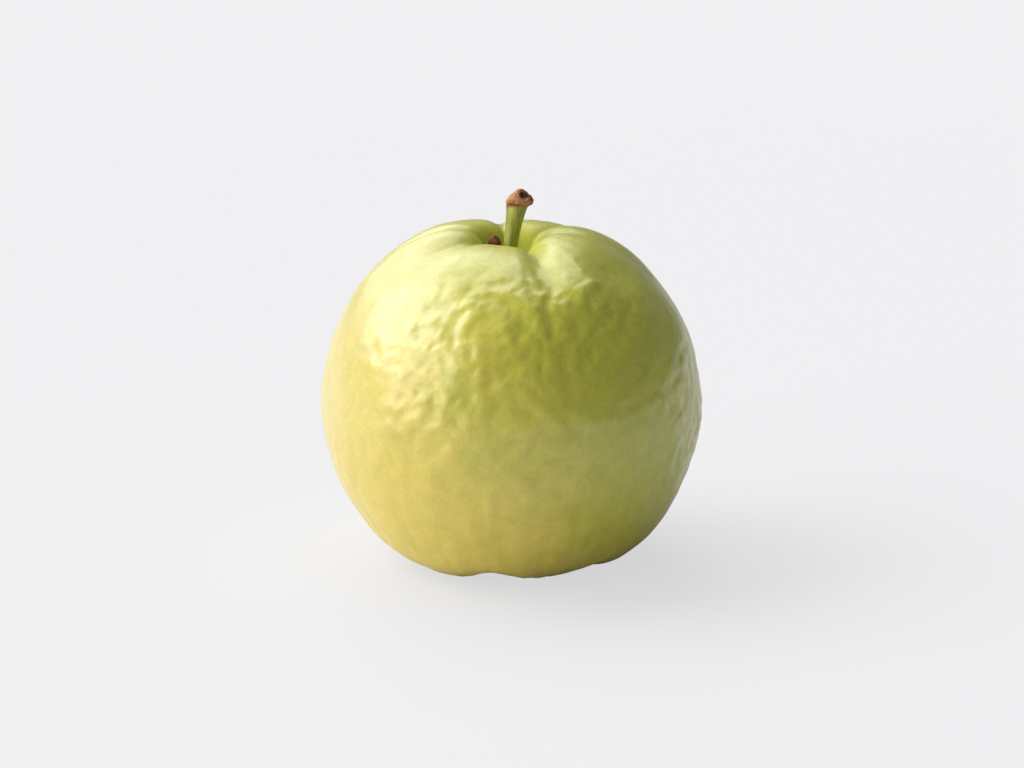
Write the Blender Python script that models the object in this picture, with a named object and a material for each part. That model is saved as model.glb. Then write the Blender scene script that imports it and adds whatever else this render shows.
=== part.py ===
"""A guava, standing on the blossom end with its stalk up, as picked.

Run with: blender --background --python part.py
Metres, +Z up, -Y towards the viewer. The origin is on the surface that the fruit stands on, under its middle.

Four pieces: the fruit, its stalk, the dried bracteole left where the stalk meets the fruit, and the dried
crown of the calyx in the hollow underneath.
"""

import math

import bmesh
import bpy
from mathutils import Vector

# ---------------------------------------------------------------- driving dimensions

MM = 0.001

# The fruit. Its skin is drawn by distance from the heart, a point in the middle of the flesh.
HEART_HEIGHT = 37.2 * MM
# The outline: degrees down from the stalk, and millimetres out from the heart.
OUTLINE = [
    (0, 30.2),
    (5.6, 30.5),
    (8.4, 36.4),
    (10.4, 40.2),
    (13, 42.5),
    (16, 43.7),
    (20, 44.6),
    (27, 45.4),
    (38, 45.6),
    (60, 45.1),
    (90, 44.75),
    (120, 44.75),
    (136, 44.95),
    (144, 44.3),
    (150, 43.1),
    (154, 41.95),
    (160, 39.7),
    (167, 36.4),
    (173, 33.6),
    (180, 32.4),
]
# The front of the shoulder stoops lower than the back: how far, and the degrees from the stalk where it fades.
STOOP, STOOP_FADE = 2.4, (22, 60)
# Furrows that part the lobes. Each is (degrees round from the front, towards +X; deepest millimetres; half width
# in degrees). The stalk end has broad shoulders, and the blossom end has small feet.
SHOULDER_FURROWS = [
    (-47, 2.3, 15),
    (-98, 1.9, 8),
    (-167, 1.8, 12),
    (132, 1.9, 12),
    (76, 0.8, 10),
    (29, 2.6, 12),
]
FOOT_FURROWS = [
    (-57, 2.4, 12),
    (-9, 4.7, 10),
    (42, 5.6, 9),
    (87, 2.6, 12),
    (139, 3.0, 13),
    (-168, 2.4, 12),
    (-112, 2.8, 13),
]
# Where a furrow starts, reaches its depth, begins to fade and ends, in degrees from the nearer pole.
SHOULDER_REACH = (3, 10, 14, 55)
FOOT_REACH = (5, 16, 26, 47)
# Places where the fruit is a little flat: degrees down from the stalk, degrees round, half width in degrees, and
# how many millimetres it is pressed in.
FLATS = [
    (41, 84, 15, 0.9),
    (17, 152, 13, 0.9),
    (152, 15, 12, 0.7),
    (134, -84, 14, 0.5),
]
FRUIT_SEGMENTS, FRUIT_RINGS = 84, 52
POLE_CROWDING = 0.22  # how much closer the rings lie at the poles, where the shape turns fastest

# The stalk, which leans and bows to +X, widens upwards and ends in a corky knob.
STALK_BASE = Vector((-0.5, 0.0, 67.75)) * MM
STALK_TIP = Vector((1.3, -0.2, 84.0)) * MM
STALK_BOW = Vector((-0.45, 0.0, 0.0)) * MM
STALK_BASE_RADIUS, STALK_TIP_RADIUS = 1.62 * MM, 2.2 * MM
STALK_FOOT_FLARE = 0.3 * MM
STALK_SIDES, STALK_STEPS = 24, 10
STALK_RIDGE = 0.06  # how far the four ridges stand out, as a share of the radius
KNOB_LEAN = Vector((0.22, -0.08, 1.0))
KNOB_RADIUS, KNOB_HEIGHT = 2.7 * MM, 4.2 * MM
# The knob's rings: share of its height, and share of its radius. The last ones sink into the scar of the twig.
KNOB_RINGS = [(0.12, 0.94), (0.34, 1.04), (0.62, 0.93), (0.86, 0.70), (0.97, 0.48), (0.9, 0.3), (0.78, 0.12)]
KNOB_CORNER = 0.25  # how far the corner on the +X side stands out, as a share of the radius

# The bracteole, a dried scale that stands against the stalk's foot, narrow at its root and tip.
SCALE_ROOT = Vector((-3.3, -0.6, 71.8)) * MM
SCALE_TIP = Vector((-4.0, -0.2, 77.6)) * MM
SCALE_WIDTH, SCALE_THICKNESS, SCALE_CURL = 2.4 * MM, 0.9 * MM, 0.4 * MM
SCALE_STEPS, SCALE_SIDES = 9, 16

# The calyx crown: a disc with five dried lobes that turn down and outwards.
CROWN_TOP = 3.75 * MM
CROWN_DISC_RADIUS, CROWN_DISC_THICKNESS = 3.6 * MM, 0.9 * MM
CROWN_LOBES, CROWN_LOBE_LENGTH, CROWN_LOBE_SPREAD = 5, 2.2 * MM, 1.5 * MM
CROWN_LOBE_WIDTH = 0.62  # a lobe's share of the way round to the next
CROWN_WALL = 0.8 * MM
CROWN_SEGMENTS, CROWN_STEPS = 60, 6


# ---------------------------------------------------------------- helpers


def smoothstep(low, high, value):
    """0 below low, 1 above high, and a smooth rise between them."""
    t = min(max((value - low) / (high - low), 0.0), 1.0)
    return t * t * (3 - 2 * t)


def through(points, at):
    """The height at `at` of a smooth curve through (position, height) points, which rise in position."""
    last = len(points) - 1
    i = max(k for k in range(last) if points[k][0] <= at or k == 0)
    (x0, y0), (x1, y1) = points[i], points[i + 1]
    t = (at - x0) / (x1 - x0)

    def slope(k):
        before, after = points[max(k - 1, 0)], points[min(k + 1, last)]
        return (after[1] - before[1]) / (after[0] - before[0])

    rise0 = 0.0 if i == 0 else slope(i) * (x1 - x0)
    rise1 = 0.0 if i + 1 == last else slope(i + 1) * (x1 - x0)
    return (
        y0 * (1 + 2 * t) * (1 - t) ** 2
        + rise0 * t * (1 - t) ** 2
        + y1 * t * t * (3 - 2 * t)
        - rise1 * t * t * (1 - t)
    )


def turn_between(a, b):
    """Degrees from b round to a, from -180 to 180."""
    return (a - b + 180) % 360 - 180


def new_material(name, colour, roughness):
    made = bpy.data.materials.new(name)
    made.use_nodes = True
    shader = made.node_tree.nodes["Principled BSDF"]
    shader.inputs["Base Color"].default_value = (*colour, 1)
    shader.inputs["Roughness"].default_value = roughness
    shader.inputs["Metallic"].default_value = 0.0
    return made


def new_object(name, mesh, material):
    """Turns a bmesh into a smooth-shaded object with one material."""
    bmesh.ops.recalc_face_normals(mesh, faces=mesh.faces)
    data = bpy.data.meshes.new(name)
    mesh.to_mesh(data)
    mesh.free()
    data.materials.append(material)
    data.shade_smooth()
    bpy.context.scene.collection.objects.link(bpy.data.objects.new(name, data))


def skin_over(mesh, rings):
    """Joins closed rings of points in order and closes both ends."""
    for lower, upper in zip(rings, rings[1:]):
        for k in range(len(lower)):
            after = (k + 1) % len(lower)
            mesh.faces.new((lower[k], lower[after], upper[after], upper[k]))
    mesh.faces.new(rings[0])
    mesh.faces.new(rings[-1])


# ---------------------------------------------------------------- the fruit


def furrow_depth(furrows, reach, from_pole, around):
    """Millimetres that a ring of furrows takes off, at degrees from their pole and degrees round from the front."""
    start, full, fade, end = reach
    along = smoothstep(start, full, from_pole) * (1 - smoothstep(fade, end, from_pole))
    cut = 0.0
    for centre, depth, half_width in furrows:
        across = turn_between(around, centre) / half_width
        cut = max(cut, depth / (1 + across * across) ** 1.5)
    return cut * along


def direction(from_stalk, around):
    down, turn = math.radians(from_stalk), math.radians(around)
    return Vector((math.sin(down) * math.sin(turn), -math.sin(down) * math.cos(turn), math.cos(down)))


def pressed_in(from_stalk, around):
    """Millimetres that the flat places take off."""
    here = direction(from_stalk, around)
    cut = 0.0
    for down, turn, half_width, depth in FLATS:
        off = math.degrees(here.angle(direction(down, turn))) / half_width
        cut += depth * math.exp(-off * off)
    return cut


def skin_distance(from_stalk, around):
    """Millimetres from the heart to the skin, at degrees down from the stalk and degrees round from the front."""
    stoop = STOOP * max(0.0, math.cos(math.radians(around))) ** 1.5
    stoop *= smoothstep(0, 12, from_stalk) * (1 - smoothstep(*STOOP_FADE, from_stalk))
    return (
        through(OUTLINE, from_stalk)
        - stoop
        - pressed_in(from_stalk, around)
        - furrow_depth(SHOULDER_FURROWS, SHOULDER_REACH, from_stalk, around)
        - furrow_depth(FOOT_FURROWS, FOOT_REACH, 180 - from_stalk, around)
    )


def skin_point(from_stalk, around):
    """The place of the skin in metres, for the same two angles."""
    return Vector((0, 0, HEART_HEIGHT)) + direction(from_stalk, around) * skin_distance(from_stalk, around) * MM


def make_fruit():
    """A sphere whose every point is moved to its own distance from the heart, cut flat where it stands."""
    mesh = bmesh.new()
    bmesh.ops.create_uvsphere(mesh, u_segments=FRUIT_SEGMENTS, v_segments=FRUIT_RINGS, radius=1)
    for vertex in mesh.verts:
        down = math.acos(max(-1.0, min(1.0, vertex.co.z)))
        down -= POLE_CROWDING * math.sin(2 * down)
        around = math.degrees(math.atan2(vertex.co.x, -vertex.co.y))
        vertex.co = skin_point(math.degrees(down), around)
    whole = [*mesh.verts, *mesh.edges, *mesh.faces]
    cut = bmesh.ops.bisect_plane(mesh, geom=whole, plane_co=(0, 0, 0), plane_no=(0, 0, -1), clear_outer=True)
    rims = [part for part in cut["geom_cut"] if isinstance(part, bmesh.types.BMEdge)]
    bmesh.ops.holes_fill(mesh, edges=rims)
    new_object("fruit", mesh, new_material("guava_skin", (0.56, 0.58, 0.16), 0.38))


# ---------------------------------------------------------------- the stalk


def stalk_ring(mesh, centre, along, radius, ridge, corner):
    """A closed ring of points square to `along`, with four ridges and a corner on the +X side."""
    turn = Vector((0, 0, 1)).rotation_difference(along).to_matrix()
    made = []
    for i in range(STALK_SIDES):
        angle = 2 * math.pi * i / STALK_SIDES
        out = radius * (1 + ridge * math.cos(4 * angle) + corner * max(0.0, math.cos(angle)) ** 4)
        made.append(mesh.verts.new(centre + turn @ Vector((out * math.cos(angle), out * math.sin(angle), 0))))
    return made


def make_stalk():
    mesh = bmesh.new()
    line = STALK_TIP - STALK_BASE
    rings = []
    for i in range(STALK_STEPS + 1):
        t = i / STALK_STEPS
        centre = STALK_BASE + line * t + STALK_BOW * math.sin(math.pi * t)
        along = line + STALK_BOW * math.pi * math.cos(math.pi * t)
        radius = STALK_BASE_RADIUS + (STALK_TIP_RADIUS - STALK_BASE_RADIUS) * t**3 + STALK_FOOT_FLARE * (1 - t) ** 6
        rings.append(stalk_ring(mesh, centre, along, radius, STALK_RIDGE, 0.0))
    for height, width in KNOB_RINGS:
        centre = STALK_TIP + KNOB_LEAN * KNOB_HEIGHT * height
        rings.append(stalk_ring(mesh, centre, KNOB_LEAN, KNOB_RADIUS * width, 0.0, KNOB_CORNER))
    skin_over(mesh, rings)
    new_object("stalk", mesh, new_material("green_stalk", (0.20, 0.25, 0.05), 0.55))


# ---------------------------------------------------------------- the bracteole


def make_bracteole():
    """A scale like a small dried leaf: a flattened tube that curls away from the stalk and narrows at both ends."""
    mesh = bmesh.new()
    line = SCALE_TIP - SCALE_ROOT
    rings = []
    for i in range(SCALE_STEPS + 1):
        t = i / SCALE_STEPS
        swell = 0.2 + 0.8 * math.sin(math.pi * (0.1 + 0.78 * t**1.5))
        centre = SCALE_ROOT + line * t + Vector((0, -1, 0)) * SCALE_CURL * math.sin(math.pi * t)
        ring = []
        for k in range(SCALE_SIDES):
            angle = 2 * math.pi * k / SCALE_SIDES
            across = SCALE_WIDTH / 2 * swell * math.cos(angle)
            through_it = SCALE_THICKNESS / 2 * swell * math.sin(angle)
            cup = SCALE_CURL * (across / SCALE_WIDTH * 2) ** 2
            ring.append(mesh.verts.new(centre + Vector((across, through_it + cup, 0))))
        rings.append(ring)
    skin_over(mesh, rings)
    new_object("bracteole", mesh, new_material("dried_scale", (0.16, 0.045, 0.018), 0.8))


# ---------------------------------------------------------------- the calyx crown


def crown_ring(mesh, height, radius_at):
    ring = []
    for i in range(CROWN_SEGMENTS):
        angle = 2 * math.pi * i / CROWN_SEGMENTS
        out = radius_at(angle)
        ring.append(mesh.verts.new((out * math.sin(angle), -out * math.cos(angle), height(angle))))
    return ring


def lobe_length(angle):
    """How much of a lobe's length there is at this angle: 1 in the middle of a lobe, and 0 between lobes."""
    step = 2 * math.pi / CROWN_LOBES
    off_middle = abs((angle + step / 2) % step - step / 2) / (step / 2)
    return max(0.0, 1 - (off_middle / CROWN_LOBE_WIDTH) ** 2) ** 0.7


def make_calyx():
    """A cup turned upside down: the disc on top, then the outside of the lobes, their ends, and the inside."""
    mesh = bmesh.new()
    rings = []
    disc_bottom = CROWN_TOP - CROWN_DISC_THICKNESS
    rings.append(crown_ring(mesh, lambda a: CROWN_TOP, lambda a: CROWN_DISC_RADIUS * 0.5))
    rings.append(crown_ring(mesh, lambda a: CROWN_TOP - 0.15 * MM, lambda a: CROWN_DISC_RADIUS * 0.85))
    for i in range(CROWN_STEPS + 1):
        t = i / CROWN_STEPS
        rings.append(
            crown_ring(
                mesh,
                lambda a: disc_bottom - CROWN_LOBE_LENGTH * t * lobe_length(a),
                lambda a: CROWN_DISC_RADIUS + CROWN_LOBE_SPREAD * t**1.4 * lobe_length(a),
            )
        )
    for i in range(CROWN_STEPS, -1, -1):
        t = i / CROWN_STEPS
        rings.append(
            crown_ring(
                mesh,
                lambda a: disc_bottom - 0.12 * MM - CROWN_LOBE_LENGTH * t * lobe_length(a),
                lambda a: CROWN_DISC_RADIUS - CROWN_WALL + CROWN_LOBE_SPREAD * t**1.4 * lobe_length(a),
            )
        )
    rings.append(crown_ring(mesh, lambda a: disc_bottom, lambda a: CROWN_DISC_RADIUS * 0.35))
    skin_over(mesh, rings)
    new_object("calyx", mesh, new_material("dried_calyx", (0.19, 0.10, 0.045), 0.85))


# ---------------------------------------------------------------- the scene


def clear_scene():
    for old in list(bpy.data.objects):
        bpy.data.objects.remove(old, do_unlink=True)


def main():
    clear_scene()
    make_fruit()
    make_stalk()
    make_bracteole()
    make_calyx()


main()
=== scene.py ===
# %% [markdown]
# # A guava, from its frame to its skin
#
# The fruit was first built as a plain solid, for size and for collision. Here it gets everything that the
# eye reads: the hammered skin, the wax on it, the corky scar on the stalk and the dried flower parts.
# Lengths are in metres unless a comment says otherwise, +Z is up, and the fruit is looked at along +Y.

# %% Load the frame
import math

import bmesh
import bpy
from mathutils import Matrix, Vector, noise


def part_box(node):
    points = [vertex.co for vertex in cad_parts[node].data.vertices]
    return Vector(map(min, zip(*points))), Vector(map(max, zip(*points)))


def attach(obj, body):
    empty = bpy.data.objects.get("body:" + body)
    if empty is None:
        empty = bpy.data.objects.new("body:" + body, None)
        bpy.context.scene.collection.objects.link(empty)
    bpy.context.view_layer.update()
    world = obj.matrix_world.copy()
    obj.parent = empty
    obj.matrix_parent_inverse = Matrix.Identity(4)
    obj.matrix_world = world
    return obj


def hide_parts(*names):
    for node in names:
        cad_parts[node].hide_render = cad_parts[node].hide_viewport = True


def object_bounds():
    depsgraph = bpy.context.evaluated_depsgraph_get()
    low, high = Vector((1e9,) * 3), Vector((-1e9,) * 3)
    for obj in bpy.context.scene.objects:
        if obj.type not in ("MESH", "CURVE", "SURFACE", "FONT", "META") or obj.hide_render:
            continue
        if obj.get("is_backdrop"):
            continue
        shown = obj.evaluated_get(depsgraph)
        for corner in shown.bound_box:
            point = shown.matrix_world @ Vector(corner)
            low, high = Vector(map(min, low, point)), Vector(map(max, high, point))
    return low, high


MM = 0.001
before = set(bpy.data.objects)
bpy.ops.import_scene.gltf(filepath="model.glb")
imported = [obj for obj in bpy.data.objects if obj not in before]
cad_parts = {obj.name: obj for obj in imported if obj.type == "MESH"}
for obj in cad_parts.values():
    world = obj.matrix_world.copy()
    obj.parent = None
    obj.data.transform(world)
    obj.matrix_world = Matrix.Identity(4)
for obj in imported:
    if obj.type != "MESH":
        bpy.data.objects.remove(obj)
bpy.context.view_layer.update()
fruit_low, fruit_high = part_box("fruit")
stalk_low, stalk_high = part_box("stalk")
print("the fruit is", round((fruit_high[2] - fruit_low[2]) / MM, 1), "mm high")
print("the stalk is", round((stalk_high[2] - stalk_low[2]) / MM, 1), "mm high")

# %% [markdown]
# ## The camera
#
# A long lens from a little above shows both the shoulders and the feet of a round fruit. 85 mm from just
# over half a metre keeps the sides from swelling towards the lens, as a wider lens held closer would make
# them do.

# %% Place the camera
CAMERA_HEIGHT_ANGLE = math.radians(14)
CAMERA_DISTANCE = 0.5715
LOOK_AT = Vector((0.2, 0.0, 41.55)) * MM


def aim(thing, at):
    """Turns a camera or a light so that it looks at a point."""
    thing.rotation_mode = "QUATERNION"
    thing.rotation_quaternion = (at - thing.location).to_track_quat("-Z", "Y")


camera = bpy.data.objects.new("camera", bpy.data.cameras.new("camera"))
camera.data.lens, camera.data.sensor_width = 85, 36
camera.data.clip_start, camera.data.clip_end = 0.05, 20
bpy.context.scene.collection.objects.link(camera)
towards_camera = Vector((0, -math.cos(CAMERA_HEIGHT_ANGLE), math.sin(CAMERA_HEIGHT_ANGLE)))
camera.location = LOOK_AT + towards_camera * CAMERA_DISTANCE
aim(camera, LOOK_AT)
bpy.context.scene.camera = camera
print("the camera stands", round(camera.location.z, 3), "m high")

# %% [markdown]
# ## The shape of the fruit
#
# A guava is a swollen sphere: broad lobes at the stalk end, a ring of small feet round the blossom end, and
# a hollow at each. Every point of such a skin can be seen from the middle, so the whole shape is one
# question: how far is it from the heart to the skin in this direction? An outline answers it for a
# perfectly round fruit. Furrows, a stoop in front, and a few flat or swollen places make it one particular
# fruit. Most of these numbers shaped the solid too, so the skin lies close to it.

# %% The outline and the furrows
HEART_HEIGHT = 37.2 * MM
# Degrees down from the stalk, and millimetres out from the heart.
OUTLINE = [
    (0, 30.2),
    (5.6, 30.5),
    (8.4, 36.4),
    (10.4, 40.2),
    (13, 42.5),
    (16, 43.7),
    (20, 44.6),
    (27, 45.4),
    (38, 45.6),
    (60, 45.1),
    (90, 44.75),
    (120, 44.75),
    (136, 44.95),
    (144, 44.3),
    (150, 43.1),
    (154, 41.95),
    (160, 39.7),
    (167, 36.4),
    (173, 33.6),
    (180, 32.4),
]
# The front of the shoulder stoops lower than the back: how far in millimetres, and where it fades in degrees.
STOOP, STOOP_FADE = 2.4, (22, 60)
# Each furrow: degrees round from the front towards +X at the stalk, the same 40 degrees further down, deepest
# millimetres, and half its width in degrees.
SHOULDER_FURROWS = [
    (-47, -60, 2.3, 15),
    (-98, -94, 1.9, 8),
    (-167, -172, 1.8, 12),
    (132, 128, 1.9, 12),
    (76, 84, 0.9, 8),
    (29, 16, 2.6, 12),
]
FOOT_FURROWS = [
    (-57, -57, 2.4, 12),
    (-9, -9, 4.7, 10),
    (42, 42, 5.6, 9),
    (87, 87, 2.6, 12),
    (139, 139, 3.0, 13),
    (-168, -168, 2.4, 12),
    (-112, -112, 2.8, 13),
]
# Where a furrow starts, reaches its depth, begins to fade and ends, in degrees from the nearer pole.
SHOULDER_REACH = (3, 10, 14, 55)
FOOT_REACH = (5, 16, 26, 47)
# Places where the fruit is a little flat or dented: degrees down from the stalk, degrees round, half width in
# degrees, and how many millimetres it is pressed in. It swells where that is below zero.
PRESSED = [
    (41, 84, 15, 0.9),
    (17, 152, 13, 0.9),
    (152, 15, 12, 0.7),
    (134, -84, 14, 0.5),
    (36, 21, 7, 0.35),
    (40, 53, 8, 0.8),
    (42, 36, 8, -0.7),
    (58, -10, 14, -0.55),
    (61, 25, 13, 0.6),
]
FOOT_SOFTNESS = 0.22 * MM  # the skin gives a little where a foot presses on the surface


def smoothstep(low, high, value):
    """0 below low, 1 above high, and a smooth rise between them."""
    t = min(max((value - low) / (high - low), 0.0), 1.0)
    return t * t * (3 - 2 * t)


def through(points, at):
    """The height at `at` of a smooth curve through (position, height) points, which rise in position."""
    last = len(points) - 1
    i = max(k for k in range(last) if points[k][0] <= at or k == 0)
    (x0, y0), (x1, y1) = points[i], points[i + 1]
    t = (at - x0) / (x1 - x0)

    def slope(k):
        before, after = points[max(k - 1, 0)], points[min(k + 1, last)]
        return (after[1] - before[1]) / (after[0] - before[0])

    rise0 = 0.0 if i == 0 else slope(i) * (x1 - x0)
    rise1 = 0.0 if i + 1 == last else slope(i + 1) * (x1 - x0)
    ease = t * t * (3 - 2 * t)
    return y0 * (1 - ease) + y1 * ease + rise0 * t * (1 - t) ** 2 - rise1 * t * t * (1 - t)


def turn_between(a, b):
    """Degrees from b round to a, from -180 to 180."""
    return (a - b + 180) % 360 - 180


def furrow_depth(furrows, reach, from_pole, around):
    """Millimetres that a ring of furrows takes off at one place."""
    start, full, fade, end = reach
    along = smoothstep(start, full, from_pole) * (1 - smoothstep(fade, end, from_pole))
    if along == 0:
        return 0.0
    cut = 0.0
    for first, later, depth, half_width in furrows:
        centre = first + (later - first) * from_pole / 40
        across = turn_between(around, centre) / half_width
        cut = max(cut, depth / (1 + across * across) ** 1.5)
    return cut * along


def pointing(from_stalk, around):
    """The unit vector at degrees down from the stalk and degrees round from the front."""
    down, turn = math.radians(from_stalk), math.radians(around)
    return Vector((math.sin(down) * math.sin(turn), -math.sin(down) * math.cos(turn), math.cos(down)))


PRESSED_PLACES = [(pointing(down, turn), math.radians(wide), depth) for down, turn, wide, depth in PRESSED]


def pressed_in(direction):
    """Millimetres that the flat places and dents take off."""
    cut = 0.0
    for middle, wide, depth in PRESSED_PLACES:
        off = direction.angle(middle) / wide
        cut += depth * math.exp(-off * off)
    return cut


def round_shape(from_stalk, around):
    """Millimetres from the heart to the smooth skin."""
    stoop = STOOP * max(0.0, math.cos(math.radians(around))) ** 1.5
    stoop *= smoothstep(0, 12, from_stalk) * (1 - smoothstep(*STOOP_FADE, from_stalk))
    return (
        through(OUTLINE, from_stalk)
        - stoop
        - pressed_in(pointing(from_stalk, around))
        - furrow_depth(SHOULDER_FURROWS, SHOULDER_REACH, from_stalk, around)
        - furrow_depth(FOOT_FURROWS, FOOT_REACH, 180 - from_stalk, around)
    )


print("from the heart to the skin at the side:", round(round_shape(90, 90), 2), "mm")

# %% [markdown]
# ## Lumps, dimples and ripples
#
# The skin of this kind of guava looks hammered. Four things lie on top of each other: slow swellings a
# centimetre across, dimples of two or three millimetres that run together along a slant, ripples that
# follow the meridians near the feet and the shoulders, and a few patches of fine level creases. A bump map
# alone would leave the outline smooth, so all four are real geometry, made with the noise functions of
# mathutils. Patches say where the dimples and creases are strong, and the rest of the skin stays smoother.
#
# `noise` gives the same value at the same place in every run. `noise_vector` does not: it reads from a place
# that a seed sets, and Blender takes that seed from the clock when it starts. So the seed is set here, or
# each run would grow a slightly different fruit.

# %% The fine shape of the skin
NOISE_SEED = 3
noise.seed_set(NOISE_SEED)  # set once, before the first use of noise_vector
SWELLING_SIZE, SWELLING_HEIGHT = 13.0, 0.40  # millimetres, as are all the values here
KNEAD_SIZE, KNEAD_HEIGHT = 3.5, 0.31
DIMPLE_SIZE, DIMPLE_HEIGHT = 1.8, 0.125
DIMPLE_GRAIN = Vector((0.62, 0.0, 0.78))  # dimples run together along this line
DIMPLE_STRETCH = 0.22
RIPPLE_SIZE, RIPPLE_LENGTH, RIPPLE_HEIGHT = 3.0, 14.0, 0.20
CREASE_SIZE, CREASE_HEIGHT = 1.3, 0.17
CREASE_LEVEL = 0.22  # creases are drawn out level by this
SKIN_AT = 45  # millimetres from the heart, where the noise is read
LEAST_DIMPLED, MOST_STRENGTH = 0.10, 1.4
# Where the dimples are deepest: degrees down from the stalk, degrees round, how wide in degrees, how strong.
DIMPLED_PATCHES = [
    (58, -6, 27, 1.0),
    (78, -30, 18, 0.7),
    (60, -48, 20, 0.25),
    (52, 20, 16, 0.8),
    (54, 44, 16, 0.7),
    (92, 10, 22, 0.35),
    (94, 72, 24, 1.3),
    (60, -150, 34, 0.7),
    (78, 140, 30, 0.6),
]
# Where the skin has fine level creases: degrees down, degrees round, how wide in degrees, how strong.
CREASED_PATCHES = [
    (98, 8, 15, 1.0),
    (92, 78, 18, 0.7),
    (100, -130, 20, 0.8),
]


def as_places(patches):
    """Patches with their middles as directions and their widths in radians."""
    return [(pointing(down, turn), math.radians(wide), strong) for down, turn, wide, strong in patches]


DIMPLED_PLACES, CREASED_PLACES = as_places(DIMPLED_PATCHES), as_places(CREASED_PATCHES)


def strength(direction, places, least):
    """How strong dimples or creases are here, from `least` up to MOST_STRENGTH."""
    most = least
    for middle, wide, strong in places:
        off = direction.angle(middle) / wide
        most += strong * math.exp(-off * off)
    return min(most, MOST_STRENGTH)


def fine_shape(direction, from_stalk, around):
    """Millimetres that swellings, dimples, creases and ripples add to the smooth skin."""
    place = direction * SKIN_AT
    wobble = noise.noise_vector(place / 9) * 1.6
    at_ends = smoothstep(14, 36, from_stalk) * (1 - smoothstep(138, 158, from_stalk))
    patch = strength(direction, DIMPLED_PLACES, LEAST_DIMPLED)
    height = SWELLING_HEIGHT * noise.noise(place / SWELLING_SIZE) * at_ends
    kneaded = noise.noise((place + wobble) / KNEAD_SIZE + Vector((7, 3, 1)))
    height += KNEAD_HEIGHT * kneaded * patch * at_ends
    along = (place + wobble).dot(DIMPLE_GRAIN)
    grained = place + wobble - DIMPLE_GRAIN * along * DIMPLE_STRETCH
    dimples = noise.noise(grained / DIMPLE_SIZE) + 0.15 * noise.noise(grained / (DIMPLE_SIZE * 0.52))
    height += DIMPLE_HEIGHT * dimples * patch * at_ends
    level = Vector((place.x * CREASE_LEVEL, place.y * CREASE_LEVEL, place.z + wobble.x * 0.5)) / CREASE_SIZE
    height += CREASE_HEIGHT * noise.noise(level) * strength(direction, CREASED_PLACES, 0.0)
    turn, down = math.radians(around), math.radians(from_stalk)
    ring = Vector((math.cos(turn), math.sin(turn), 0)) * 40 / RIPPLE_SIZE
    ripple = noise.noise(ring + Vector((0, 0, down * SKIN_AT / RIPPLE_LENGTH)) + wobble * 0.12)
    near_feet = smoothstep(84, 102, from_stalk) * (1 - smoothstep(146, 162, from_stalk))
    near_stalk = smoothstep(6, 14, from_stalk) * (1 - smoothstep(32, 56, from_stalk))
    height += RIPPLE_HEIGHT * ripple * (near_feet * (0.35 + 0.65 * (1 - patch)) + 0.3 * near_stalk)
    return height


print("the strongest dimples:", round(DIMPLE_HEIGHT * MOST_STRENGTH, 2), "mm")
in_front = strength(pointing(60, -10), DIMPLED_PLACES, LEAST_DIMPLED)
print("strength of the dimples in front:", round(in_front, 2))

# %% [markdown]
# ## Growing the skin
#
# A sphere made of meridians has crowded poles, and a guava needs its detail evenly spread. So the skin
# starts as a cube, each side is cut into a fine grid, and every point is pushed out to the skin in its own
# direction. The tangent keeps the small squares nearly equal, where a plain cube would have small ones at
# its corners. The fine height is kept on each point as the attribute `relief`, so that the finish can paint
# shade into the hollows.

# %% Make the skin
SKIN_CUTS = 126


def make_skin():
    """The fruit's skin: a finely cut cube blown out to the fruit's shape."""
    mesh = bmesh.new()
    bmesh.ops.create_cube(mesh, size=2)
    bmesh.ops.subdivide_edges(mesh, edges=mesh.edges[:], cuts=SKIN_CUTS, use_grid_fill=True)
    relief = mesh.verts.layers.float.new("relief")
    for vertex in mesh.verts:
        even = Vector([math.tan(side * math.pi / 4) for side in vertex.co])
        direction = even.normalized()
        from_stalk = math.degrees(math.acos(max(-1.0, min(1.0, direction.z))))
        around = math.degrees(math.atan2(direction.x, -direction.y))
        fine = fine_shape(direction, from_stalk, around)
        out = round_shape(from_stalk, around) + fine
        place = direction * out * MM
        place.z += HEART_HEIGHT
        place.z = (place.z + math.hypot(place.z, FOOT_SOFTNESS)) / 2
        vertex.co = place
        vertex[relief] = fine
    bmesh.ops.recalc_face_normals(mesh, faces=mesh.faces[:])
    return mesh


def to_object(mesh, name):
    """Puts a finished bmesh into the scene as a smooth object at the origin."""
    data = bpy.data.meshes.new(name)
    mesh.to_mesh(data)
    mesh.free()
    data.shade_smooth()
    made = bpy.data.objects.new(name, data)
    bpy.context.scene.collection.objects.link(made)
    print(name, "has", len(data.vertices), "points and", len(data.polygons), "faces")
    return made


skin = to_object(make_skin(), "guava_skin")

# %% [markdown]
# ## The stalk
#
# A guava's stalk is green, bowed and faintly four-sided, because the young twigs are square. It widens
# upwards and ends in a corky knob where it parted from the tree. Both are one turned profile: half of the
# outline is spun round, and then the points are moved as clay would be, for the ridges, the bow and the
# ragged scar.

# %% Turn the stalk's profile and work it
STALK_FOOT = Vector((-0.5, 0.0, 66.9)) * MM
STALK_TOP = Vector((1.4, -0.2, 84.3)) * MM
STALK_BOW = Vector((-0.45, 0.0, 0.0)) * MM
STALK_LENGTH = (STALK_TOP - STALK_FOOT).length / MM
KNOB_LEAN = Vector((0.22, -0.08, 0.0))
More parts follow.
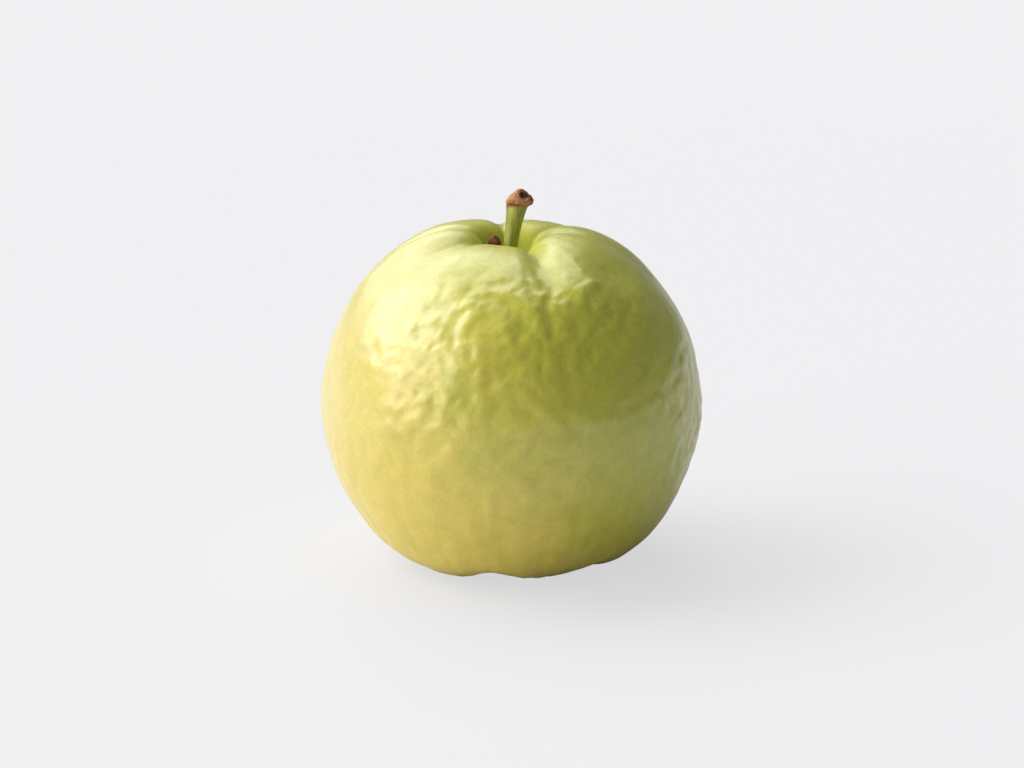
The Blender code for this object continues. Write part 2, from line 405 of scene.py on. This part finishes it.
# Height above the foot and radius, in millimetres. The knob starts at the stalk's length.
STALK_PROFILE = [
    (0.0, 2.7),
    (1.0, 2.3),
    (3.0, 1.75),
    (9.0, 1.62),
    (13.0, 1.85),
    (STALK_LENGTH - 1.2, 2.25),
    (STALK_LENGTH, 2.5),
    (STALK_LENGTH + 0.8, 2.8),
    (STALK_LENGTH + 1.5, 2.75),
    (STALK_LENGTH + 2.3, 2.2),
    (STALK_LENGTH + 3.1, 1.55),
    (STALK_LENGTH + 3.8, 0.9),
    (STALK_LENGTH + 4.0, 0.0),
]
STALK_STEPS, STALK_SIDES = 120, 72
RIDGE_HEIGHT = 0.055  # as a share of the radius
SCAR_MIDDLE = Vector((1.0, -1.0, STALK_LENGTH + 3.1))  # millimetres, before the stalk is bowed
SCAR_SIZE, SCAR_DEPTH = 1.3, 1.0


def turned(profile, steps, sides):
    """Spins a profile of (height, radius) in millimetres round the Z axis, closed at both ends."""
    mesh = bmesh.new()
    bottom, top = profile[0][0], profile[-1][0]
    chain = []
    for i in range(steps + 1):
        height = bottom + (top - bottom) * math.sin(math.pi / 2 * i / steps)
        chain.append(mesh.verts.new((max(0.0, through(profile, height)) if i < steps else 0.0, 0, height)))
    edges = [mesh.edges.new(pair) for pair in zip(chain, chain[1:])]
    bmesh.ops.spin(
        mesh, geom=chain + edges, cent=(0, 0, 0), axis=(0, 0, 1), dvec=(0, 0, 0),
        angle=2 * math.pi, steps=sides, use_merge=True,
    )
    bmesh.ops.remove_doubles(mesh, verts=mesh.verts[:], dist=1e-5)
    rim = [edge for edge in mesh.edges if edge.is_boundary]
    bmesh.ops.holes_fill(mesh, edges=rim)
    return mesh


def work_stalk(mesh):
    """Moves the turned stalk's points for the ridges, the cork and its scar, and then the bow and lean."""
    for vertex in mesh.verts:
        place = vertex.co.copy()
        angle = math.atan2(place.y, place.x)
        on_knob = smoothstep(STALK_LENGTH - 0.6, STALK_LENGTH + 0.6, place.z)
        ridge = RIDGE_HEIGHT * math.cos(4 * angle + 0.5) * (1 - on_knob)
        fibre = 0.02 * noise.noise(Vector((math.cos(angle) * 5, math.sin(angle) * 5, place.z / 5)))
        corner = 0.28 * max(0.0, math.cos(angle + 0.2)) ** 5 * on_knob
        ragged = 0.05 * noise.noise(Vector((math.cos(angle) * 2, math.sin(angle) * 2, 4.0))) * on_knob
        widen = 1 + ridge + fibre + corner + ragged
        place.x *= widen
        place.y *= widen
        cork = noise.noise(place / 0.95) + 0.5 * noise.noise(place / 0.42)
        place += Vector((place.x, place.y, 0)).normalized() * 0.24 * cork * on_knob
        place.z += 0.22 * noise.noise(place / 1.3 + Vector((5, 0, 0))) * on_knob
        into_scar = (place - SCAR_MIDDLE).length / SCAR_SIZE
        place += Vector((-0.25, 0.2, -1)) * SCAR_DEPTH * math.exp(-(into_scar**2)) * on_knob
        up = min(place.z / STALK_LENGTH, 1.0)
        above = max(place.z - STALK_LENGTH, 0.0)
        line = STALK_FOOT.lerp(STALK_TOP, up) + STALK_BOW * math.sin(math.pi * up)
        vertex.co = line + Vector((place.x, place.y, above)) * MM + KNOB_LEAN * above * MM
    bmesh.ops.recalc_face_normals(mesh, faces=mesh.faces[:])
    return mesh


stalk = to_object(work_stalk(turned(STALK_PROFILE, STALK_STEPS, STALK_SIDES)), "green_stalk")
print("the stalk ends", round(max(v.co.z for v in stalk.data.vertices) / MM, 1), "mm up")

# %% [markdown]
# ## The bracteole
#
# Two scales grow under a guava flower, and one has dried on beside the stalk. It is a scrap of red-brown
# leaf, so thin and so crumpled that its outline is never straight. A ball is pressed flat and pinched at
# its root, and then crumpled with two sizes of noise.

# %% Crumple the bracteole
SCALE_ROOT = Vector((-3.3, -0.6, 71.5)) * MM
SCALE_TIP = Vector((-4.0, -0.5, 77.4)) * MM
SCALE_WIDTH, SCALE_THICKNESS = 3.1, 0.85  # millimetres


def make_bracteole():
    """The dried scale beside the stalk's foot."""
    mesh = bmesh.new()
    bmesh.ops.create_uvsphere(mesh, u_segments=48, v_segments=40, radius=1)
    line = SCALE_TIP - SCALE_ROOT
    for vertex in mesh.verts:
        up = (vertex.co.z + 1) / 2
        wide = 0.28 + 0.72 * smoothstep(0.15, 0.72, up)
        side = Vector((vertex.co.x * SCALE_WIDTH / 2 * wide, vertex.co.y * SCALE_THICKNESS / 2, 0))
        side.y += 0.45 * (side.x / SCALE_WIDTH * 2) ** 2 - 0.3 * math.sin(math.pi * up)
        crumple = noise.noise_vector(Vector((side.x, side.y * 0.4, up * 5)) / 1.1)
        crease = noise.noise_vector(Vector((side.x, side.y, up * 6)) / 0.5)
        side += crumple * 0.42 + crease * 0.16
        vertex.co = SCALE_ROOT + line * up + side * MM
    bmesh.ops.recalc_face_normals(mesh, faces=mesh.faces[:])
    return mesh


bracteole = to_object(make_bracteole(), "dried_bracteole")

# %% [markdown]
# ## The calyx crown
#
# The blossom end keeps the dried sepals of the flower, and some of its stamens. A turned disc carries five
# sepals. Each is a flat grid, cupped and curled, turned to its place and given a thickness, with small
# differences from its neighbours. The stamens are thin cones that hang from the disc.

# %% Build the crown
CROWN_TOP, CROWN_RADIUS = 3.95, 3.3  # millimetres
SEPALS, SEPAL_LENGTH, SEPAL_WIDTH, SEPAL_THICKNESS = 5, 3.0, 3.4, 0.35
CROWN_PROFILE = [(0.0, 0.0), (0.15, 2.0), (0.5, 3.1), (0.9, 3.3), (1.4, 3.1), (1.75, 2.2), (1.8, 0.0)]
STAMENS = 36


def make_crown():
    """The dried crown in the blossom end, as one mesh, made in millimetres and scaled at the end."""
    disc = turned(CROWN_PROFILE, 28, 60)
    for vertex in disc.verts:
        vertex.co += noise.noise_vector(vertex.co / 0.9) * 0.16
        vertex.co.z += CROWN_TOP - CROWN_PROFILE[-1][0]
    for number in range(SEPALS):
        sepal = bmesh.ops.create_grid(disc, x_segments=12, y_segments=14, size=1)["verts"]
        turn = Matrix.Rotation(2 * math.pi * number / SEPALS + 0.2, 3, "Z")
        for vertex in sepal:
            side, along = vertex.co.x, (vertex.co.y + 1) / 2
            wide = SEPAL_WIDTH / 2 * (1 - along**2.2) ** 0.6 + 0.08
            curl = along * 1.15 + 0.25 * noise.noise(Vector((number, 0, 0.5)))
            place = Vector((side * wide, -CROWN_RADIUS * 0.86 - SEPAL_LENGTH * math.sin(curl) * 0.62, 0))
            place.z = CROWN_TOP - 0.8 - SEPAL_LENGTH * (1 - math.cos(curl)) * 0.9 - 0.35 * side * side
            place += noise.noise_vector(place / 0.8 + Vector((number * 5, 0, 0))) * 0.2
            vertex.co = turn @ place
        faces = list({face for vertex in sepal for face in vertex.link_faces})
        bmesh.ops.recalc_face_normals(disc, faces=faces)
        bmesh.ops.solidify(disc, geom=faces, thickness=SEPAL_THICKNESS)
    for number in range(STAMENS):
        turn = number * 2.4
        out = 2.3 * math.sqrt((number + 0.5) / STAMENS)
        root = Vector((math.cos(turn) * out, math.sin(turn) * out, CROWN_TOP - 1.5))
        bend = noise.noise_vector(Vector((number * 3.1, 0, 0))) * 0.9
        hair = bmesh.ops.create_cone(
            disc, cap_ends=True, segments=6, radius1=0.10, radius2=0.05, depth=1.0
        )
        for vertex in hair["verts"]:
            up = 0.5 - vertex.co.z
            hang = Vector((bend.x, bend.y, -1.0)) * up * 1.4
            vertex.co = root + Vector((vertex.co.x, vertex.co.y, 0)) + hang
    bmesh.ops.scale(disc, verts=disc.verts[:], vec=(MM, MM, MM))
    bmesh.ops.recalc_face_normals(disc, faces=disc.faces[:])
    return disc


crown = to_object(make_crown(), "calyx_crown")
crown_foot = min(v.co.z for v in crown.data.vertices)
print("the crown hangs down to", round(crown_foot / MM, 2), "mm above the surface")

# %% [markdown]
# ## Two effects that the finishes share
#
# Living and dried plant matter is never one colour. `mottle` gives a value that wanders at two sizes, and
# `grain` gives a fine height for a bump. Both are node groups, so each finish sets its own sizes.

# %% Helpers for node trees
def add(tree, kind, **settings):
    """A new node with its properties set by name, and its inputs by position or by socket name."""
    node = tree.nodes.new(kind)
    inputs = settings.pop("inputs", {})
    for name, value in settings.items():
        setattr(node, name, value)
    for key, value in inputs.items():
        if hasattr(value, "is_linked"):
            tree.links.new(value, node.inputs[key])
        else:
            node.inputs[key].default_value = value
    return node


def maths(tree, operation, *values):
    """One sum on values or sockets."""
    return add(tree, "ShaderNodeMath", operation=operation, inputs=dict(enumerate(values))).outputs[0]


def vector_maths(tree, operation, first, second, out=0):
    """One sum on vectors. `out` names the socket that is wanted."""
    return add(tree, "ShaderNodeVectorMath", operation=operation, inputs={0: first, 1: second}).outputs[out]


def blend_colours(tree, share, first, second, how="MIX"):
    """`second` laid over `first` by a share from 0 to 1."""
    node = add(tree, "ShaderNodeMix", data_type="RGBA", blend_type=how)
    for key, value in ((0, share), (6, first), (7, second)):
        if hasattr(value, "is_linked"):
            tree.links.new(value, node.inputs[key])
        else:
            node.inputs[key].default_value = value if key == 0 else (*value, 1)
    return node.outputs[2]


def between(tree, value, low, high, to_low=0.0, to_high=1.0, smooth=True):
    """Stretches low..high of a value to another range, held at its ends."""
    node = add(tree, "ShaderNodeMapRange", interpolation_type="SMOOTHSTEP" if smooth else "LINEAR")
    for key, number in zip((0, 1, 2, 3, 4), (value, low, high, to_low, to_high)):
        if hasattr(number, "is_linked"):
            tree.links.new(number, node.inputs[key])
        else:
            node.inputs[key].default_value = number
    return node.outputs[0]


def wander(tree, place, scale, detail=2.0, roughness=0.5):
    """Noise with `scale` features to a metre."""
    inputs = {"Vector": place, "Scale": scale, "Detail": detail, "Roughness": roughness}
    return add(tree, "ShaderNodeTexNoise", inputs=inputs).outputs[0]


def new_group(name, inputs, outputs):
    """A node group with inputs {name: default value, or None for a vector}, and values as its outputs."""
    tree = bpy.data.node_groups.new(name, "ShaderNodeTree")
    for label, value in inputs.items():
        kind = "NodeSocketVector" if value is None else "NodeSocketFloat"
        made = tree.interface.new_socket(label, in_out="INPUT", socket_type=kind)
        if value is not None:
            made.default_value = value
    for label in outputs:
        tree.interface.new_socket(label, in_out="OUTPUT", socket_type="NodeSocketFloat")
    return tree, tree.nodes.new("NodeGroupInput"), tree.nodes.new("NodeGroupOutput")


def use_group(tree, group, **inputs):
    """Places a node group and returns its only output. An underscore in a name stands for a space."""
    named = {key.replace("_", " "): value for key, value in inputs.items()}
    return add(tree, "ShaderNodeGroup", node_tree=group, inputs=named).outputs[0]


print("helpers ready")

# %% Make the two groups
def make_mottle():
    """A value from 0 to 1 that wanders at a broad and a fine size."""
    sizes = {"Place": None, "Broad size": 0.008, "Fine size": 0.0015, "Fine share": 0.4}
    tree, given, put = new_group("mottle", sizes, ["Value"])
    broad_scale = maths(tree, "DIVIDE", 1.0, given.outputs["Broad size"])
    fine_scale = maths(tree, "DIVIDE", 1.0, given.outputs["Fine size"])
    broad = wander(tree, given.outputs["Place"], broad_scale)
    fine = wander(tree, given.outputs["Place"], fine_scale, detail=3.0)
    share = given.outputs["Fine share"]
    rest = maths(tree, "SUBTRACT", 1.0, share)
    mixed = maths(tree, "ADD", maths(tree, "MULTIPLY", broad, rest), maths(tree, "MULTIPLY", fine, share))
    tree.links.new(between(tree, mixed, 0.34, 0.66, smooth=False), put.inputs["Value"])
    return tree


def make_grain():
    """A fine height, from 0 to Height."""
    tree, given, put = new_group("grain", {"Place": None, "Size": 0.001, "Height": 0.05}, ["Height"])
    scale = maths(tree, "DIVIDE", 1.0, given.outputs["Size"])
    soft = wander(tree, given.outputs["Place"], scale, detail=4.0, roughness=0.55)
    tree.links.new(maths(tree, "MULTIPLY", soft, given.outputs["Height"]), put.inputs["Height"])
    return tree


mottle, grain = make_mottle(), make_grain()
print("groups made:", mottle.name, grain.name)

# %% [markdown]
# ## The skin's finish
#
# A ripe guava's skin is a thin wax over green that turns yellow towards its ripe side, low on the left. That
# side is also painted brighter, as painted light bounced up from the floor. A paler, bluer colour on the
# left, where the lamps stand, is a painted sheen. The stem basin is greener and dull, and a little darker as
# painted shade, and the hollows of the dimples get a painted shade of olive. Light goes a little way into the
# skin, so shadows stay warm, and the wax gives a second, sharper shine. The colour comes from where a point
# lies on the fruit, broken up by mottling. A painted picture would do this too, but it would need the skin
# unwrapped. The finest wrinkles are too small for the mesh, so a bump draws them.

# %% Colours of the skin
LEAF_GREEN = (0.41, 0.43, 0.027)
LIME = (0.495, 0.475, 0.046)
CREAM_YELLOW = (0.76, 0.575, 0.115)
# A painted sheen: a pale, bluer cream laid over the lit left side.
PAINTED_SHEEN_COLOUR = (0.59, 0.505, 0.25)
# The basin's own green, darkened a little as painted shade.
BASIN_GREEN_AND_SHADE = (0.42, 0.44, 0.04)
# A painted shade for the hollows of the dimples.
DIMPLE_SHADE_OLIVE = (0.5, 0.46, 0.035)
MOTTLE_PALE = (0.9, 0.9, 0.45)
PORE_GREEN = (0.30, 0.36, 0.05)
RIPE_AND_BOUNCE_LIT_SIDE = Vector((-0.80, -0.25, -0.55))  # the fruit ripens from this side, and it is painted brighter here as light bounced up from the floor
PAINTED_SHEEN_SIDE = Vector((-0.93, 0.10, 0.30))  # the painted sheen is palest on this side, where the lamps stand
FRUIT_REACH = 0.045  # metres from the heart to the skin
BASIN_EDGE = (0.005, 0.014)  # metres from the axis, where the basin's finish fades out
BASIN_FLOOR = (0.02, 0.03)  # metres above the heart, where it begins


def new_material(name):
    """A new material, its node tree, its shader and the Object coordinates, in metres."""
    made = bpy.data.materials.new(name)
    made.use_nodes = True
    tree = made.node_tree
    place = tree.nodes.new("ShaderNodeTexCoord").outputs["Object"]
    return made, tree, tree.nodes["Principled BSDF"], place


def cells(tree, place, size, feature="F1"):
    """How far a place is from the middle, or from the edge, of its cell. Cells are `size` metres across."""
    inputs = {"Vector": place, "Scale": 1 / size}
    return add(tree, "ShaderNodeTexVoronoi", feature=feature, inputs=inputs).outputs["Distance"]


def basin_mask(tree, apart):
    """1 in the stem basin and 0 on the rest of the fruit, from X, Y and Z measured from the heart."""
    squares = [maths(tree, "POWER", apart[axis], 2.0) for axis in (0, 1)]
    off_axis = maths(tree, "SQRT", maths(tree, "ADD", *squares))
    above = between(tree, apart[2], *BASIN_FLOOR)
    return maths(tree, "MULTIPLY", between(tree, off_axis, *BASIN_EDGE, 1.0, 0.0), above)


def skin_colour(tree, centred, spots, fine, basin, pores):
    """Green, lime and cream towards the ripe side, which is also painted brighter as bounce light, with a
    painted sheen, the basin's green and painted shade, painted shade in the hollows, mottling and pores over
    them.
    """
    # The yellow, ripe side is partly the fruit's own colour and partly painted light: it is brighter low
    # down, where the floor bounces light up.
    ripe_and_bounce_lit = vector_maths(tree, "DOT_PRODUCT", centred, RIPE_AND_BOUNCE_LIT_SIDE / FRUIT_REACH, "Value")
    blotches = maths(tree, "MULTIPLY", maths(tree, "SUBTRACT", spots, 0.5), 0.26)
    ripe = maths(tree, "ADD", maths(tree, "MULTIPLY", ripe_and_bounce_lit, 0.5), blotches)
    colour = blend_colours(tree, between(tree, ripe, -0.5, 0.1), LEAF_GREEN, LIME)
    colour = blend_colours(tree, between(tree, ripe, -0.08, 0.45), colour, CREAM_YELLOW)
    # A paler, bluer colour on the left, where the lamps stand, is a painted sheen.
    painted_sheen_share = vector_maths(tree, "DOT_PRODUCT", centred, PAINTED_SHEEN_SIDE / FRUIT_REACH, "Value")
    colour = blend_colours(tree, between(tree, painted_sheen_share, 0.35, 1.0, 0.0, 0.6), colour, PAINTED_SHEEN_COLOUR)
    # The basin is greener, and a little darker as painted shade.
    colour = blend_colours(tree, maths(tree, "MULTIPLY", basin, 0.65), colour, BASIN_GREEN_AND_SHADE)
    # The hollows of the relief are painted a darker olive, as painted shade.
    relief = add(tree, "ShaderNodeAttribute", attribute_name="relief", attribute_type="GEOMETRY")
    painted_hollow_shade = between(tree, relief.outputs["Fac"], -0.35, 0.25, 1.0, 0.0, smooth=False)
    colour = blend_colours(tree, maths(tree, "MULTIPLY", painted_hollow_shade, 0.35), colour, DIMPLE_SHADE_OLIVE)
    colour = blend_colours(tree, maths(tree, "MULTIPLY", fine, 0.35), colour, MOTTLE_PALE, "SOFT_LIGHT")
    return blend_colours(tree, maths(tree, "MULTIPLY", pores, 0.16), colour, PORE_GREEN)


print("the skin goes from", LEAF_GREEN, "to", CREAM_YELLOW)

# %% The wrinkles of the skin
WRINKLE_SIZE, WRINKLE_HEIGHT = 0.0013, 0.07  # sizes in metres and heights in millimetres
PEEL_SIZE, PEEL_HEIGHT = 0.00035, 0.018
CRACKLE_SIZE, CRACKLE_DEPTH = 0.0026, 0.010
CRACKLE_SHAKE = (0.0016, 0.0012)  # how broad and how far the cracks are pushed about
PORE_SPACING, PORE_DEPTH = 0.0013, 0.008


def stretched(tree, place, turn, scale):
    """A place turned and stretched, for a pattern that has a grain."""
    inputs = {"Vector": place, "Rotation": turn, "Scale": scale}
    return add(tree, "ShaderNodeMapping", vector_type="TEXTURE", inputs=inputs).outputs[0]


def skin_height(tree, place, basin, pores):
    """The bump's height in millimetres, calmer in the basin."""
    slanted = stretched(tree, place, (0.0, math.radians(-38), 0.0), (1.0, 1.0, 0.55))
    broad, far = CRACKLE_SHAKE
    shake = add(tree, "ShaderNodeTexNoise", inputs={"Vector": place, "Scale": 1 / broad}).outputs["Color"]
    push = add(tree, "ShaderNodeVectorMath", operation="SCALE", inputs={0: shake, "Scale": far}).outputs[0]
    edges = cells(tree, vector_maths(tree, "ADD", slanted, push), CRACKLE_SIZE, "DISTANCE_TO_EDGE")
    crackle = between(tree, edges, 0.0, 0.25, -CRACKLE_DEPTH, 0.0)
    wrinkles = use_group(tree, grain, Place=slanted, Size=WRINKLE_SIZE, Height=WRINKLE_HEIGHT)
    orange_peel = use_group(tree, grain, Place=place, Size=PEEL_SIZE, Height=PEEL_HEIGHT)
    cuts = maths(tree, "ADD", crackle, maths(tree, "MULTIPLY", pores, -PORE_DEPTH))
    height = maths(tree, "ADD", maths(tree, "ADD", wrinkles, orange_peel), cuts)
    return maths(tree, "MULTIPLY", height, between(tree, basin, 0.0, 1.0, 1.0, 0.25))


def bump(tree, height, shader):
    """Bumps a shader's normal by a height in millimetres."""
    made = add(tree, "ShaderNodeBump", inputs={"Height": height, "Distance": MM, "Strength": 1.0})
    tree.links.new(made.outputs[0], shader.inputs["Normal"])


print("wrinkles are", round(WRINKLE_SIZE / MM, 2), "mm across")

# %% Make the skin's material
def skin_material():
    """Waxy skin: its colour, its two shines, a little light inside it, and its wrinkles."""
    made, tree, shader, place = new_material("waxy_guava_skin")
    centred = vector_maths(tree, "SUBTRACT", place, (0, 0, HEART_HEIGHT))
    apart = add(tree, "ShaderNodeSeparateXYZ", inputs={0: centred}).outputs
    basin = basin_mask(tree, apart)
    spots = use_group(tree, mottle, Place=place, Broad_size=0.016, Fine_size=0.004, Fine_share=0.45)
    fine = use_group(tree, mottle, Place=place, Broad_size=0.0032, Fine_size=0.0009, Fine_share=0.5)
    pores = between(tree, cells(tree, place, PORE_SPACING), 0.10, 0.24, 1.0, 0.0)
    tree.links.new(skin_colour(tree, centred, spots, fine, basin, pores), shader.inputs["Base Color"])
    dull_basin = maths(tree, "MULTIPLY", basin, 0.35)
    dull = maths(tree, "ADD", between(tree, spots, 0.0, 1.0, 0.50, 0.40), dull_basin)
    tree.links.new(dull, shader.inputs["Roughness"])
    thin_in_basin = between(tree, basin, 0.0, 1.0, 1.0, 0.05)
    thin_below = between(tree, apart[2], -0.034, 0.0, 0.35, 1.0)
    wax = maths(tree, "MULTIPLY", between(tree, fine, 0.0, 1.0, 0.7, 0.95), thin_in_basin)
    tree.links.new(maths(tree, "MULTIPLY", wax, thin_below), shader.inputs["Coat Weight"])
    for socket, value in {
        "Coat Roughness": 0.28,
        "Coat IOR": 1.6,
        "IOR": 1.5,
        "Specular IOR Level": 0.5,
        "Sheen Weight": 0.05,
        "Sheen Roughness": 0.4,
        "Subsurface Weight": 0.15,
        "Subsurface Radius": (1.0, 0.75, 0.25),
        "Subsurface Scale": 2.2 * MM,
    }.items():
        shader.inputs[socket].default_value = value
    bump(tree, skin_height(tree, place, basin, pores), shader)
    return made


skin.data.materials.append(skin_material())
print("finish:", skin.data.materials[0].name)

# %% [markdown]
# ## The stalk's finish
#
# The stalk is olive green with long pale fibres and turns to cork at the top. The cork is tan on its high
# places and dark red-brown in the scar. Height up the stalk decides which is which, so the border is broken
# up with noise.

# %% Make the stalk's material
STALK_OLIVE = (0.19, 0.22, 0.035)
STALK_LIGHT = (0.50, 0.50, 0.11)
CORK_TAN = (0.46, 0.215, 0.09)
CORK_RED = (0.20, 0.055, 0.024)
SCAR_DARK = (0.06, 0.014, 0.008)
CORK_STARTS = STALK_TOP.z - 0.1 * MM
# The scar's middle after the stalk is bowed and the knob leans.
SCAR_PLACE = STALK_TOP + (Vector((SCAR_MIDDLE.x, SCAR_MIDDLE.y, 2.6)) + KNOB_LEAN * 3.0) * MM


def stalk_material():
    """Green fibres below and cork above, with a dark scar in the cork."""
    made, tree, shader, place = new_material("stalk_and_cork")
    long = stretched(tree, place, (0.0, math.radians(6), 0.0), (1.0, 1.0, 9.0))
    fibres = use_group(tree, mottle, Place=long, Broad_size=0.0011, Fine_size=0.0004, Fine_share=0.4)
    colour = blend_colours(tree, fibres, STALK_OLIVE, STALK_LIGHT)
    speckle = cells(tree, place, 0.0009)
    colour = blend_colours(tree, between(tree, speckle, 0.1, 0.2, 0.5, 0.0), colour, CORK_TAN)
    patches = use_group(tree, mottle, Place=place, Broad_size=0.0022, Fine_size=0.0007, Fine_share=0.3)
    height = add(tree, "ShaderNodeSeparateXYZ", inputs={0: place}).outputs[2]
    ragged = maths(tree, "ADD", height, maths(tree, "MULTIPLY", patches, 1.0 * MM))
    corky = between(tree, ragged, CORK_STARTS, CORK_STARTS + 0.9 * MM)
    cork = blend_colours(tree, between(tree, patches, 0.1, 0.55), CORK_RED, CORK_TAN)
    rim = between(tree, ragged, CORK_STARTS + 0.6 * MM, CORK_STARTS + 1.8 * MM, 1.0, 0.0)
    cork = blend_colours(tree, maths(tree, "MULTIPLY", rim, 0.55), cork, CORK_RED)
    to_scar = vector_maths(tree, "DISTANCE", place, SCAR_PLACE, "Value")
    in_scar = between(tree, to_scar, 0.7 * MM, 1.6 * MM, 1.0, 0.0)
    cork = blend_colours(tree, in_scar, cork, SCAR_DARK)
    tree.links.new(blend_colours(tree, corky, colour, cork), shader.inputs["Base Color"])
    tree.links.new(between(tree, corky, 0.0, 1.0, 0.45, 0.78), shader.inputs["Roughness"])
    shader.inputs["Specular IOR Level"].default_value = 0.4
    fibre_height = use_group(tree, grain, Place=long, Size=0.0007, Height=0.12)
    cork_height = use_group(tree, grain, Place=place, Size=0.0006, Height=0.35)
    heights = {0: corky, 2: fibre_height, 3: cork_height}
    bump(tree, add(tree, "ShaderNodeMix", data_type="FLOAT", inputs=heights).outputs[0], shader)
    return made


stalk.data.materials.append(stalk_material())
print("finish:", stalk.data.materials[0].name, "- cork starts", round(CORK_STARTS / MM, 1), "mm up")

# %% [markdown]
# ## The dried pieces
#
# Both dried pieces are leaf that died on the plant, so they are matt, wrinkled and blotched. They share one
# recipe, and only the colours and sizes differ.

# %% Make the dried finishes
SCALE_DARK, SCALE_LIGHT = (0.030, 0.009, 0.006), (0.36, 0.10, 0.035)
SEPAL_DARK, SEPAL_LIGHT = (0.06, 0.03, 0.014), (0.28, 0.17, 0.075)


def dried_material(name, dark, light, blotch, wrinkle):
    """Dried leaf: two browns in blotches, and a wrinkled bump, with sizes in metres."""
    made, tree, shader, place = new_material(name)
    blotches = use_group(tree, mottle, Place=place, Broad_size=blotch, Fine_size=blotch / 3, Fine_share=0.5)
    tree.links.new(blend_colours(tree, blotches, dark, light), shader.inputs["Base Color"])
    tree.links.new(between(tree, blotches, 0.0, 1.0, 0.9, 0.62), shader.inputs["Roughness"])
    bump(tree, use_group(tree, grain, Place=place, Size=wrinkle, Height=0.3), shader)
    return made


scale_finish = dried_material("dried_red_scale", SCALE_DARK, SCALE_LIGHT, 0.0012, 0.0005)
sepal_finish = dried_material("dried_sepal", SEPAL_DARK, SEPAL_LIGHT, 0.0016, 0.0006)
bracteole.data.materials.append(scale_finish)
crown.data.materials.append(sepal_finish)
print("finishes:", scale_finish.name, sepal_finish.name)

# %% [markdown]
# ## Floor, sky and lights
#
# A pale floor that melts into a sky of the same brightness leaves nothing to look at but the fruit. The
# lamps are suns made very wide, so they light the fruit as big soft windows would, and no lamp can show or
# cut the floor. The key comes from the upper left and makes the large soft shine and the slanting edge of
# the shade. The top and back lamps light the shoulders, and the window, low on the left, fills the belly.

# %% Lay the floor and hang the sky
FLOOR_WIDTH = 12.0
FLOOR_COLOUR = (0.66, 0.66, 0.68)
BACKDROP = (0.89, 0.89, 0.905)
SKY_COLOUR, SKY_LIGHT = (0.93, 0.96, 1.0), 0.18
FLOOR_LIFT = 0.72  # the share of even glow in the floor that the camera sees, which thins the shadow
FLOOR_MELTS = (0.5, 2.5)  # metres out from the fruit, where the floor turns wholly into the glow


def make_floor():
    """A pale disc that takes the shadow near the fruit and glows like the sky further out."""
    mesh = bmesh.new()
    bmesh.ops.create_circle(mesh, cap_ends=True, segments=96, radius=FLOOR_WIDTH / 2)
    bmesh.ops.recalc_face_normals(mesh, faces=mesh.faces[:])
    floor = to_object(mesh, "floor")
    made, tree, shader, place = new_material("pale_floor")
    shader.inputs["Base Color"].default_value = (*FLOOR_COLOUR, 1)
    shader.inputs["Roughness"].default_value = 0.9
    shader.inputs["Specular IOR Level"].default_value = 0.1
    glow = add(tree, "ShaderNodeEmission", inputs={"Color": (*BACKDROP, 1)})
    far = add(tree, "ShaderNodeVectorMath", operation="LENGTH", inputs={0: place}).outputs["Value"]
    lift = between(tree, far, *FLOOR_MELTS, FLOOR_LIFT, 1.0)
    ray = tree.nodes.new("ShaderNodeLightPath").outputs["Is Camera Ray"]
    seen = maths(tree, "MULTIPLY", ray, lift)
    lifted = add(tree, "ShaderNodeMixShader", inputs={0: seen, 1: shader.outputs[0], 2: glow.outputs[0]})
    tree.links.new(lifted.outputs[0], tree.nodes["Material Output"].inputs["Surface"])
    floor.data.materials.append(made)
    floor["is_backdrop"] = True
    return floor


def make_sky():
    """A faint light from all round, which is seen as the plain backdrop."""
    world = bpy.data.worlds.new("studio")
    bpy.context.scene.world = world
    world.use_nodes = True
    tree = world.node_tree
    light = tree.nodes["Background"]
    light.inputs["Color"].default_value = (*SKY_COLOUR, 1)
    light.inputs["Strength"].default_value = SKY_LIGHT
    seen = add(tree, "ShaderNodeBackground", inputs={"Color": (*BACKDROP, 1), "Strength": 1.0})
    ray = tree.nodes.new("ShaderNodeLightPath").outputs["Is Camera Ray"]
    mix = add(tree, "ShaderNodeMixShader", inputs={0: ray, 1: light.outputs[0], 2: seen.outputs[0]})
    tree.links.new(mix.outputs[0], tree.nodes["World Output"].inputs["Surface"])


make_floor()
make_sky()
print("the floor is", FLOOR_WIDTH, "m across")

# %% Light the fruit
def add_light(name, towards, strength, colour, wide):
    """A broad lamp far away: the way to it from the fruit, and how many degrees wide it looks."""
    data = bpy.data.lights.new(name, "SUN")
    data.energy, data.color, data.angle = strength, colour, math.radians(wide)
    lamp = bpy.data.objects.new(name, data)
    bpy.context.scene.collection.objects.link(lamp)
    lamp.location = LOOK_AT + Vector(towards).normalized() * 2
    aim(lamp, LOOK_AT)
    return lamp


lamps = [
    add_light("key", (-0.75, 0.12, 0.65), 2.62, (1.0, 0.995, 0.98), 46),
    add_light("back", (-0.42, 0.76, 0.50), 0.5, (1.0, 1.0, 1.0), 42),
    add_light("top", (-0.16, 0.48, 0.86), 1.2, (1.0, 1.0, 1.0), 50),
    add_light("window", (-0.86, -0.48, 0.21), 1.5, (1.0, 0.98, 0.94), 46),
]
print("lamps:", [(lamp.name, round(lamp.data.energy, 2)) for lamp in lamps])
bpy.context.scene.view_settings.view_transform = "Standard"

# %% [markdown]
# ## Hand over
#
# Each new piece stands for one solid of the frame and moves with its body. The size of the finished fruit is
# printed.

# %% Join the pieces to the frame
for piece, node, finish in (
    (skin, "fruit", "guava_skin"),
    (stalk, "stalk", "green_stalk"),
    (bracteole, "bracteole", "dried_scale"),
    (crown, "calyx", "dried_calyx"),
):
    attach(piece, "root")
    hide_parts(node)

shown_low, shown_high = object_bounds()
shown_size = [round((high - low) / MM, 1) for low, high in zip(shown_low, shown_high)]
print("the finished fruit is", shown_size, "mm")
